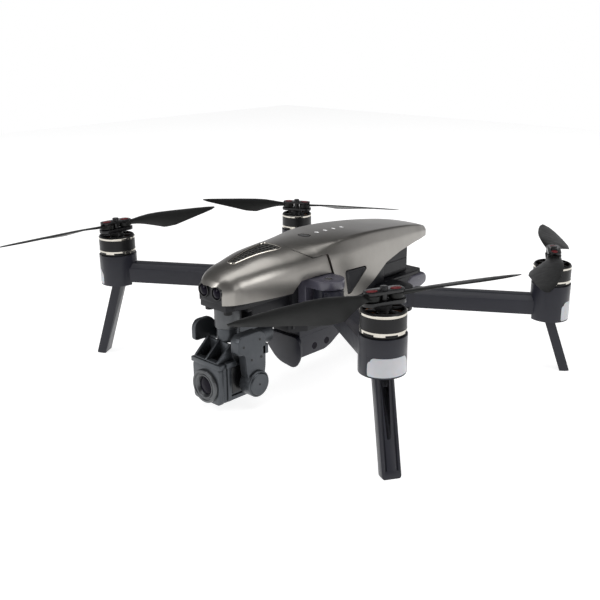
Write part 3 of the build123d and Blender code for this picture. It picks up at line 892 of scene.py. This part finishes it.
def light_cover(corner):
    """Frosted window wrapped round the outer side of the cup, and the dark wall behind it."""
    low, high = CUPS[kind_of(corner)]
    corners = [(-14.3, low + 0.9), (14.3, low + 0.9), (14.3, high - 4.2), (10.8, high - 0.2),
               (-10.8, high - 0.2), (-14.3, high - 4.2)]
    outline = resampled(rounded_outline(corners, 1.6), 1.2)
    middle = (low + high) / 2
    rings = []
    for i in range(13):
        share = i / 12
        radius = 14.72 - 0.22 * share ** 10
        rings.append([(radius, p[0] / 14.5 * share, middle + (p[1] - middle) * share) for p in outline])
    rings.append([(13.4, a, z) for _, a, z in rings[-1]])
    rings = [[(ARM_LEN + r * math.cos(a), r * math.sin(a), z) for r, a, z in ring] for ring in rings]
    mesh = pad_from_rings("window", rings, 45)
    mesh.transform(arm_frame(corner))
    node = "light_cover_" + corner
    new_piece(node + "_window", mesh, "cover", "arm_" + corner, (node,))
    new_piece(node + "_wall", node_mesh(node), "arm", "arm_" + corner, (), True)


def arms_and_legs():
    for corner in CORNERS:
        softened("arm_" + corner, "arm", 1.0)
        leg(corner)
        light_cover(corner)


# ---- gimbal and belly ----------------------------------------------------------------------------
def block_mesh(name, x, y, z, width=0.5):
    """A box with rounded edges from three (low, high) pairs."""
    outline = [(x[0], y[0]), (x[1], y[0]), (x[1], y[1]), (x[0], y[1])]
    return bevelled(prism_mesh(name, outline, *z), width, 2)


def camera_body():
    """Box with a rounded face plate, a stepped cap and three sloping ribs that run up to a rear wall."""
    face = rounded_outline([(-13.9, 6.3), (13.9, 6.3), (13.9, 33.8), (-13.9, 33.8)], 3.4)
    parts = [
        block_mesh("box", (-13.3, 13.3), (-123, -91), (6.8, 34.2), 1.6),
        bevelled(prism_mesh("face", face, -126.8, -122.6, "Y"), 0.7),
        block_mesh("cap", (-15.0, 15.0), (-127.3, -121.6), (32.9, 36.6), 0.6),
        block_mesh("cap_step", (-12.2, 12.2), (-126.2, -122.2), (36.2, 37.6), 0.4),
        block_mesh("tray", (-13.4, 13.4), (-123, -111.5), (33.6, 36.0), 0.4),
        block_mesh("wall", (-13.0, 13.0), (-113.6, -112.0), (35.0, 47.6), 0.4),
        block_mesh("column", (12.9, 14.6), (-119.6, -116.4), (8.0, 34.4), 0.4),
        block_mesh("sill", (12.9, 14.4), (-116.6, -95), (8.0, 11.0), 0.4),
        block_mesh("tab", (12.6, 16.3), (-121.4, -112.6), (33.4, 37.2), 0.5),
        block_mesh("rear_lip", (-13.6, 13.6), (-96, -91), (33.0, 35.2), 0.4),
    ]
    rib = [(-126.2, 36.4), (-126.2, 38.2), (-114.6, 48.4), (-112.4, 48.4), (-112.4, 36.0)]
    for x in (-12.4, -1.0, 10.8):
        parts.append(bevelled(prism_mesh("rib", rib, x, x + 1.7, "X"), 0.35, 2))
    new_piece("camera_housing", join_meshes("camera", parts), "gimbal", "camera",
              ("camera_body",))
    # The two gloss-black plates are painted shade: they fill the floor between the ribs and the recessed
    # side panel with the dark of these recesses.
    pit = block_mesh("pit", (-11.6, 11.6), (-121.4, -113.8), (35.6, 36.4), 0.2)
    panel = block_mesh("panel", (13.0, 13.6), (-115, -97), (12.5, 31.5), 0.3)
    new_piece("camera_recess_shade", join_meshes("recesses", [pit, panel]), "gloss", "camera")


def camera_lens():
    """Large stepped ring round a dark lens."""
    front = (0, -127.2, 18.3)
    ring = [(12.0, -0.6), (12.2, 0.9), (11.8, 1.9), (11.0, 2.3), (10.1, 2.3), (9.7, 1.6), (8.9, 1.4),
            (8.6, 1.9), (7.9, 1.9), (7.1, 1.1), (6.2, -1.0), (6.2, -3.4), (11.6, -3.4)]
    dome = [(0.01, 0.9), (2.8, 0.75), (4.8, 0.4), (6.3, -0.2), (6.3, -3.3), (0.01, -3.3)]
    barrel = facing_front(lathe_mesh("ring", ring, (0, 0, 0), 96), *front)
    new_piece("lens_barrel", barrel, "lens_metal", "camera", ("lens_ring",))
    glass = facing_front(lathe_mesh("dome", dome, (0, 0, 0), 64), *front)
    new_piece("lens_dome", glass, "glass", "camera", ("lens_glass",))


def gimbal_yoke():
    """The roll frame: a tall near post with the pitch motor, a bridge behind, and a far post."""
    near = [(-118.4, 43.5), (-118.4, 53.5), (-115.5, 57.0), (-98, 57.4), (-93.6, 54), (-93.0, 46),
            (-93.4, 30), (-95.4, 20), (-108.4, 20), (-110.6, 30), (-111.4, 40), (-113.2, 43.5)]
    far = [(-117, 42.5), (-117, 53.5), (-113.5, 57.6), (-102, 57.6), (-98, 53.5), (-96, 46), (-90.4, 46),
           (-90.4, 38.8), (-97, 38.8), (-108, 42.5)]
    parts = [
        bevelled(prism_mesh("near", rounded_outline(near, 2.6, 3), 17.1, 25, "X"), 1.1),
        bevelled(prism_mesh("far", rounded_outline(far, 2.6, 3), -26, -22, "X"), 0.9),
        block_mesh("bridge", (-25, 25), (-96.4, -90.4), (38.8, 46), 0.8),
    ]
    body, slot = "gimbal_roll", "gimbal_metal"
    new_piece("gimbal_frame", join_meshes("frame", parts), "gimbal", body, ("yoke",))
    screws = [prism_mesh("screw", ellipse(y, z, 0.9, 0.9, 20), 24.9, 25.2, "X")
              for y, z in ((-113.5, 49), (-98.5, 51), (-106.5, 38), (-97.5, 38))]
    screws.append(prism_mesh("dot", ellipse(-102, 19.5, 0.7, 0.7, 20), 27.9, 28.15, "X"))
    # The black disc on the far post is painted shade, drawn where a hole's inside would be dark; the screws
    # and the dot are dark parts.
    screws.append(prism_mesh("hole", ellipse(-109, 50, 1.6, 1.6, 24), -26.15, -25.9, "X"))
    new_piece("gimbal_screws_and_hole_shade", join_meshes("screws", screws), "gloss", body)
    motor_side = [(0.01, 0.0), (9.2, 0.0), (9.5, 0.4), (9.5, 9.6), (9.1, 10.1), (8.4, 10.2), (8.2, 9.9),
                  (7.9, 10.6), (7.4, 11.1), (0.01, 11.1)]
    disc = lathe_mesh("disc", motor_side, (0, 0, 0))
    disc.transform(shifted(16.8, -102, 19.5) @ turned(90, "Y"))
    new_piece("pitch_motor_shape", disc, "gimbal", body, ("pitch_motor",))


def gimbal_top():
    """Open drum of the yaw motor, hung from a small plate in the dark recess under the nose."""
    drum = [(0.01, 56.6), (9.1, 56.6), (9.5, 57.0), (9.5, 71.6), (9.2, 72.2), (8.7, 72.2), (8.5, 71.8),
            (8.5, 64.0), (0.01, 64.0)]
    shape = lathe_mesh("drum", drum, (0, -105, 0))
    new_piece("yaw_drum", shape, "lens_metal", "airframe", ("yaw_motor",))
    plate = block_mesh("plate", (-12, 12), (-97, -88), (66.8, 69), 0.6)
    new_piece("damper_plate_shape", plate, "dark", "airframe", ("damper_plate",))
    struts = [block_mesh("tray", (-17, 17), (-113, -60), (73.4, 76.6), 0.8),
              block_mesh("neck", (-12.5, 12.5), (-93.5, -56), (58.0, 74), 1.2)]
    for x in (-12, 9.4):
        for y in (-96, -84, -72):
            outline = [(y, 74), (y + 3, 74), (y + 9, 60), (y + 6, 60)]
            struts.append(bevelled(prism_mesh("strut", outline, x, x + 2.6, "X"), 0.4, 2))
    new_piece("nose_underside", join_meshes("underside", struts), "dark", "airframe")


def belly():
    """Sensor pod with two round windows a side and a layered rounded plate in front."""
    pod = [(-48, 42.5), (3.8, 42.5), (3.8, 31), (-13, 21), (-20, 18.6), (-48, 18.6)]
    plate = rounded_outline([(-17.5, 36), (17.5, 36), (18.8, 21), (12.5, 10.8), (-6, 13.5), (-18, 25)], 7, 8)
    back = rounded_outline([(-16, 36), (16, 36), (17.2, 22), (11.5, 13), (-5, 15.5), (-16, 26)], 6, 8)
    seam = [(-47.6, 35.2), (3.6, 35.2), (3.6, 34.4), (-47.6, 34.4)]
    parts = [
        bevelled(prism_mesh("pod", rounded_outline(pod, 2.2, 3), -13.9, 13.9, "X"), 1.0),
        bevelled(prism_mesh("plate", plate, -52, -50.2, "Y"), 0.5, 2),
        bevelled(prism_mesh("back", back, -49.8, -48, "Y"), 0.4, 2),
        bevelled(prism_mesh("seam", seam, -14, 14, "X"), 0.2, 2),
    ]
    shape = join_meshes("pod", parts)
    new_piece("belly_pod_shape", shape, "arm", "airframe", ("belly_pod",))
    windows = []
    for y, z in ((-31.8, 24.4), (-18.2, 24.9)):
        for low, high in ((13.6, 14.0), (-14.0, -13.6)):
            windows.append(prism_mesh("window", ellipse(y, z, 2.7, 2.7, 32), low, high, "X"))
    panes = join_meshes("windows", windows)
    new_piece("belly_windows", panes, "glass", "airframe", ("belly_sensors",))


def chassis_tail():
    """Rounded glossy rear end of the lower body."""
    side = [(74, 44.2), (92, 44.2), (99.5, 47), (100, 53), (96, 56.6), (78, 56.9), (72, 52)]
    tail = bevelled(prism_mesh("tail", rounded_outline(side, 2.5, 4), -21.8, 21.8, "X"), 2.0, 4)
    new_piece("chassis_tail", tail, "boss", "airframe")


def kept_shapes():
    """CAD nodes whose own shape is kept: rounded at the edges outside, only repainted inside."""
    for node in ("lower_chassis", "battery_case", "rear_hinge_mounts"):
        softened(node, "dark", 0.9)
    softened("front_hinge_mounts", "boss", 1.8)
    softened("yaw_arm", "gimbal", 0.6)
    softened("battery_deck", "dark", 0.3)
    repaint("rubber_dampers", "rubber")
    repaint("arm_hinge_pins", "steel")
    repaint("main_board", "board")
    repaint("battery_cells", "cell")


# ---- stage, light and camera ---------------------------------------------------------------------
def area_light(name, place, aim, size, power):
    lamp = bpy.data.lights.new(name, "AREA")
    lamp.shape = "RECTANGLE"
    lamp.size, lamp.size_y = size
    lamp.energy = power
    holder = bpy.data.objects.new(name, lamp)
    holder.location = place
    holder.rotation_euler = (Vector(aim) - Vector(place)).to_track_quat("-Z", "Y").to_euler()
    bpy.context.scene.collection.objects.link(holder)


def studio_world(tree):
    """White to the eye; as light, bright at the horizon and dim overhead, like a tent of white cloth."""
    ray = tree.nodes.new("ShaderNodeLightPath")
    place = tree.nodes.new("ShaderNodeTexCoord")
    split = tree.nodes.new("ShaderNodeSeparateXYZ")
    ramp = tree.nodes.new("ShaderNodeValToRGB")
    mix = tree.nodes.new("ShaderNodeMix")
    mix.data_type = "RGBA"
    mix.inputs["B"].default_value = (1, 1, 1, 1)
    stops = ((0.0, 0.70), (0.10, 0.62), (0.26, 0.20), (0.5, 0.05), (1.0, 0.08))
    elements = ramp.color_ramp.elements
    while len(elements) < len(stops):
        elements.new(0.5)
    for element, (at, value) in zip(elements, stops):
        element.position = at
        element.color = (value, value, value * 1.02, 1)
    tree.links.new(place.outputs["Generated"], split.inputs["Vector"])
    tree.links.new(split.outputs["Z"], ramp.inputs["Fac"])
    tree.links.new(ramp.outputs["Color"], mix.inputs["A"])
    tree.links.new(ray.outputs["Is Camera Ray"], mix.inputs["Factor"])
    tree.links.new(mix.outputs["Result"], tree.nodes["Background"].inputs["Color"])


def stage():
    """Pale floor, white surround and three soft lights."""
    mesh = bpy.data.meshes.new("floor")
    mesh.from_pydata([(-1.6, -1.6, 0), (1.6, -1.6, 0), (1.6, 1.6, 0), (-1.6, 1.6, 0)], [], [(0, 1, 2, 3)])
    mesh.materials.append(MATERIALS["floor"])
    floor = bpy.data.objects.new("floor", mesh)
    floor.location.z = -0.0002
    bpy.context.scene.collection.objects.link(floor)
    world = bpy.data.worlds.new("studio")
    world.use_nodes = True
    studio_world(world.node_tree)
    bpy.context.scene.world = world
    bpy.context.scene.view_settings.view_transform = "Standard"
    area_light("top", (0.15, 0.0, 1.6), (0, 0, 0), (1.7, 1.7), 17)
    area_light("key", (-0.45, -1.25, 0.8), (0, -0.05, 0.08), (0.6, 0.8), 8)
    area_light("side", (1.35, 0.15, 0.55), (0, 0, 0.08), (0.6, 0.6), 4)


def camera():
    """Looks from the front left and a little above."""
    azimuth, elevation, roll = math.radians(43.94), math.radians(17.84), math.radians(-0.43)
    target = Vector((-13.91, -18.43, 55.32)) * MM
    distance = 650.24 * MM
    away = Vector((math.sin(azimuth) * math.cos(elevation), -math.cos(azimuth) * math.cos(elevation),
                   math.sin(elevation)))
    lens = bpy.data.cameras.new("view")
    lens.lens = 50.17
    lens.sensor_width = 36
    lens.shift_y = -0.0084
    lens.clip_start = 0.01
    holder = bpy.data.objects.new("view", lens)
    holder.location = target + away * distance + ORIGIN
    facing = (-away).to_track_quat("-Z", "Y").to_matrix().to_4x4()
    holder.rotation_euler = (facing @ Matrix.Rotation(roll, 4, "Z")).to_euler()
    bpy.context.scene.collection.objects.link(holder)
    bpy.context.scene.camera = holder


stage()
camera()
nose_shell()
battery_cover()
top_grille()
top_controls()
for button_side in (1, -1):
    side_button(button_side)
nose_sensors()
arms_and_legs()
camera_body()
camera_lens()
gimbal_yoke()
gimbal_top()
belly()
kept_shapes()
chassis_tail()
for corner_name in CORNERS:
    motor(corner_name)
    propeller(corner_name)
